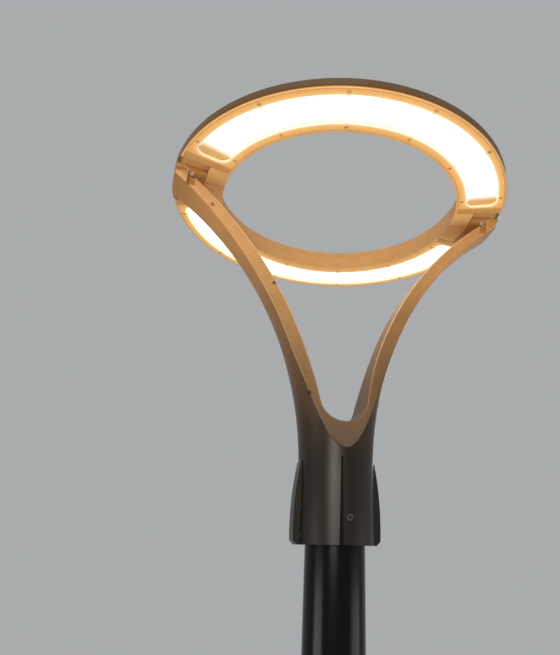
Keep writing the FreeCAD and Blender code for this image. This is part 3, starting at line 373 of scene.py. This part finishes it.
def litPane(name, node, pocket):
    finish = Finish(name, Roughness=pane["rough"], Emission_Strength=pane["strength"])
    x, y = finish.xyz()[:2]
    radius = distance(x, y)
    within = radius.step(pane["inner"], pane["inner"] + pane["rim"])
    within = within * radius.fall(pane["outer"] - pane["rim"], pane["outer"])
    glow = finish.blend(within, pane["warm"], pane["lit"])
    unlit = abs(x).turnFrom(abs(y)).step(*pocket)
    finish.set(Emission_Color=finish.blend(unlit, glow, pane["pocket"]))
    finish.set(Base_Color=finish.blend(unlit, pane["body"], pane["bodyPocket"]))
    dress(finish, node)


litPane("frontPane", "front_lens", pane["frontPocket"])
litPane("rearPane", "rear_lens", pane["rearPocket"])
print("coats and windows dressed")

# fasteners and inner parts
metalLook = {"mottle": 0.35, "fineness": 6, "strength": 0.1, "depth": 0.0003, "spread": 0.16}
plasticLook = {"mottle": 0.22, "fineness": 8, "strength": 0.15, "depth": 0.0003, "spread": 0.1}
metals = (
    {"name": "stainless", "colour": (0.72, 0.71, 0.69), "metallic": 0.9, "rough": 0.28, "scale": 220,
     "parts": ("door_screws",)},
    # steel ring mount screws, with a warm bright colour that is a painted glint
    {"name": "steelPaintedGlint", "colour": (1.0, 0.91, 0.76), "metallic": 0.5, "rough": 0.3, "scale": 220,
     "parts": ("ring_mount_screws",)},
    {"name": "blackened", "colour": (0.04, 0.038, 0.036), "metallic": 0.9, "rough": 0.42, "scale": 220,
     "parts": ("ear_screws",)},
    {"name": "dullSteel", "colour": (0.09, 0.087, 0.083), "metallic": 0.9, "rough": 0.4, "scale": 220,
     "parts": ("pole_set_screws",)},
    # bezel screws, made gold with painted lamp light
    {"name": "screwPaintedLampLight", "colour": (1.0, 0.60, 0.25), "metallic": 0.15, "rough": 0.45, "scale": 220,
     "parts": ("front_bezel_screws", "rear_bezel_screws")},
    {"name": "zinc", "colour": (0.62, 0.63, 0.64), "metallic": 0.9, "rough": 0.35, "scale": 120,
     "parts": ("door_clamp_bar", "terminal_bracket", "left_ring_splice", "right_ring_splice")},
)
plastics = (
    {"name": "rubber", "colour": (0.03, 0.03, 0.03), "rough": 0.75, "scale": 160,
     "parts": ("lead_grommets",)},
    {"name": "silicone", "colour": (0.85, 0.52, 0.22), "rough": 0.5, "scale": 160,
     "parts": ("front_lens_gasket", "rear_lens_gasket")},
    {"name": "maskedBoard", "colour": (0.86, 0.86, 0.83), "rough": 0.45, "scale": 90,
     "parts": ("front_led_board", "rear_led_board")},
    {"name": "driverCase", "colour": (0.8, 0.8, 0.79), "rough": 0.5, "scale": 90,
     "parts": ("front_led_driver", "rear_led_driver")},
    {"name": "terminalCase", "colour": (0.66, 0.64, 0.58), "rough": 0.5, "scale": 90,
     "parts": ("terminal_block",)},
)


def dressSmall(look, name, colour, rough, scale, parts, metallic=0.0):
    finish = Finish(name, Metallic=metallic)
    finish.set(Base_Color=finish.shade(colour, look["mottle"], scale))
    finish.grain(scale * look["fineness"], look["strength"], look["depth"], rough, look["spread"])
    dress(finish, *parts)


for facts in metals:
    dressSmall(metalLook, **facts)
for facts in plastics:
    dressSmall(plasticLook, **facts)

# phosphor of the LEDs
chip = {
    "rough": 0.3, "strength": 1.2, "scale": 400, "range": (0.3, 0.7),
    "body": ((0.95, 0.72, 0.2), (1.0, 0.84, 0.4)), "glow": ((0.8, 0.6, 0.32), (0.95, 0.76, 0.46)),
}
chipCoat = Finish("phosphor", Roughness=chip["rough"], Emission_Strength=chip["strength"])
chipPatches = chipCoat.noise(chip["scale"]).step(*chip["range"])
chipCoat.set(Base_Color=chipCoat.blend(chipPatches, *chip["body"]))
chipCoat.set(Emission_Color=chipCoat.blend(chipPatches, *chip["glow"]))
dress(chipCoat, "front_leds", "rear_leds")
print("fasteners and inner parts dressed")

# weld beads at the post's foot
weld = {"radius": 0.0026, "ripple": 0.12, "pitch": 0.0035, "sides": 10, "step": 0.0009,
        "plate": 0.010, "pole": 0.03805, "ribHalf": 0.003, "ribTop": 0.078, "ribEnd": 0.088}


def straightBead(length):  # a rippled rod along Z from the origin
    rod = bmesh.new()
    middle = Matrix.Translation((0, 0, length / 2))
    bmesh.ops.create_cone(rod, cap_ends=True, segments=weld["sides"], radius1=weld["radius"],
                          radius2=weld["radius"], depth=length, matrix=middle)
    sides = [edge for edge in rod.edges if abs(edge.verts[0].co.z - edge.verts[1].co.z) > length / 2]
    bmesh.ops.subdivide_edges(rod, edges=sides, cuts=int(length / weld["step"]), use_grid_fill=True)
    for vert in rod.verts:
        swell = 1 + weld["ripple"] * math.sin(2 * math.pi * vert.co.z / weld["pitch"])
        vert.co = Vector((vert.co.x * swell, vert.co.y * swell, vert.co.z))
    return rod


def addBead(beads, rod):
    data = bpy.data.meshes.new("bead")
    rod.to_mesh(data)
    rod.free()
    beads.from_mesh(data)
    bpy.data.meshes.remove(data)


def addLine(beads, start, stop):
    rod = straightBead((stop - start).length)
    turn = (stop - start).to_track_quat("Z", "X").to_matrix().to_4x4()
    bmesh.ops.transform(rod, matrix=Matrix.Translation(start) @ turn, verts=rod.verts)
    addBead(beads, rod)


def addArc(beads, start, sweep):  # bends a rod round the pole
    rod = straightBead(weld["pole"] * sweep)
    for vert in rod.verts:
        turn = start + vert.co.z / weld["pole"]
        reach = weld["pole"] + vert.co.x
        vert.co = Vector((reach * math.cos(turn), reach * math.sin(turn), weld["plate"] - vert.co.y))
    addBead(beads, rod)


def makeBeads():
    beads = bmesh.new()
    clear = weld["ribHalf"] / weld["pole"]
    for quarter in range(4):
        turn = quarter * math.pi / 2
        addArc(beads, turn + clear, math.pi / 2 - 2 * clear)
        spin = Matrix.Rotation(turn, 3, "Z")
        for side in (-weld["ribHalf"], weld["ribHalf"]):
            foot = spin @ Vector((weld["pole"], side, weld["plate"]))
            addLine(beads, foot, spin @ Vector((weld["pole"], side, weld["ribTop"])))
            addLine(beads, foot, spin @ Vector((weld["ribEnd"], side, weld["plate"])))
    bmesh.ops.recalc_face_normals(beads, faces=beads.faces)
    data = bpy.data.meshes.new("weldBeads")
    beads.to_mesh(data)
    beads.free()
    for face in data.polygons:
        face.use_smooth = True
    data.materials.append(postCoat.material)
    piece = bpy.data.objects.new("weldBeads", data)
    scene.collection.objects.link(piece)
    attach(piece, "post")


makeBeads()
print("weld beads made")

# camera, from the perspective of the ring and the post
shot = {
    "place": (-0.19325, -0.70641, 1.5943), "pitch": 22.382, "turn": 15.3,  # degrees
    "roll": 0.0190, "yaw": -0.0186,  # radians
    "focal": 540.30, "middle": 328.12, "frame": (560, 655),  # pixels
    "sensor": 36, "clip": 0.01,
}


def makeCamera():
    wide, tall = shot["frame"]
    data = bpy.data.cameras.new("camera")
    data.sensor_width = shot["sensor"]
    data.sensor_fit = "AUTO"
    data.lens = shot["focal"] / tall * shot["sensor"]
    data.shift_x = (wide / 2 - shot["middle"]) / tall
    data.clip_start = shot["clip"]
    camera = bpy.data.objects.new("camera", data)
    scene.collection.objects.link(camera)
    pitch, yaw, roll = math.radians(shot["pitch"]), shot["yaw"], shot["roll"]
    ahead = Vector((math.sin(yaw) * math.cos(pitch), math.cos(yaw) * math.cos(pitch), math.sin(pitch)))
    right = Vector((math.cos(yaw), -math.sin(yaw), 0))
    up = right.cross(ahead)
    side = right * math.cos(roll) + up * math.sin(roll)
    rise = up * math.cos(roll) - right * math.sin(roll)
    basis = Matrix((side, rise, -ahead)).transposed()
    turned = Matrix.Rotation(math.radians(-shot["turn"]), 3, "Z") @ basis
    camera.matrix_world = Matrix.Translation(shot["place"]) @ turned.to_4x4()
    scene.camera = camera


makeCamera()
print("camera set")

# floor and soft light
studio = {"floor": (0.78, 0.78, 0.77), "rough": 0.8, "reach": 8.5, "sides": 96,
          "sky": (0.95, 0.975, 1.0), "level": 0.42}
softBoxes = (
    {"name": "keySoftBox", "place": (-0.80, -2.25, 2.45), "aim": 1.9,
     "wide": 1.1, "tall": 1.6, "power": 47},
    {"name": "leftStrip", "place": (-2.32, -0.61, 1.05), "aim": 1.05,
     "wide": 1.3, "tall": 0.8, "power": 16},
    {"name": "rightFill", "place": (1.67, -0.67, 0.9), "aim": 1.85,
     "wide": 1.3, "tall": 1.2, "power": 14},
    {"name": "backFill", "place": (1.2, 2.2, 2.3), "aim": 1.85,
     "wide": 1.0, "tall": 1.0, "power": 8},
)


def makeFloor():
    disc = bmesh.new()
    bmesh.ops.create_circle(disc, cap_ends=True, segments=studio["sides"], radius=studio["reach"])
    data = bpy.data.meshes.new("floor")
    disc.to_mesh(data)
    disc.free()
    finish = Finish("floorPaint", Roughness=studio["rough"])
    finish.set(Base_Color=studio["floor"])
    data.materials.append(finish.material)
    floor = bpy.data.objects.new("floor", data)
    scene.collection.objects.link(floor)


def makeLamp(name, place, aim, wide, tall, power):  # aim is a height on the post's axis
    data = bpy.data.lights.new(name, "AREA")
    data.shape = "RECTANGLE"
    data.size = wide
    data.size_y = tall
    data.energy = power
    lamp = bpy.data.objects.new(name, data)
    ray = Vector((0, 0, aim)) - Vector(place)
    lamp.matrix_world = Matrix.Translation(place) @ ray.to_track_quat("-Z", "Y").to_matrix().to_4x4()
    lamp.visible_camera = False
    scene.collection.objects.link(lamp)


def makeSky():
    world = bpy.data.worlds.new("studio")
    world.use_nodes = True
    background = world.node_tree.nodes["Background"]
    background.inputs["Color"].default_value = (*studio["sky"], 1)
    background.inputs["Strength"].default_value = studio["level"]
    scene.world = world


makeFloor()
for softBox in softBoxes:
    makeLamp(**softBox)
makeSky()
scene.view_settings.view_transform = "Standard"
print("floor and light set")
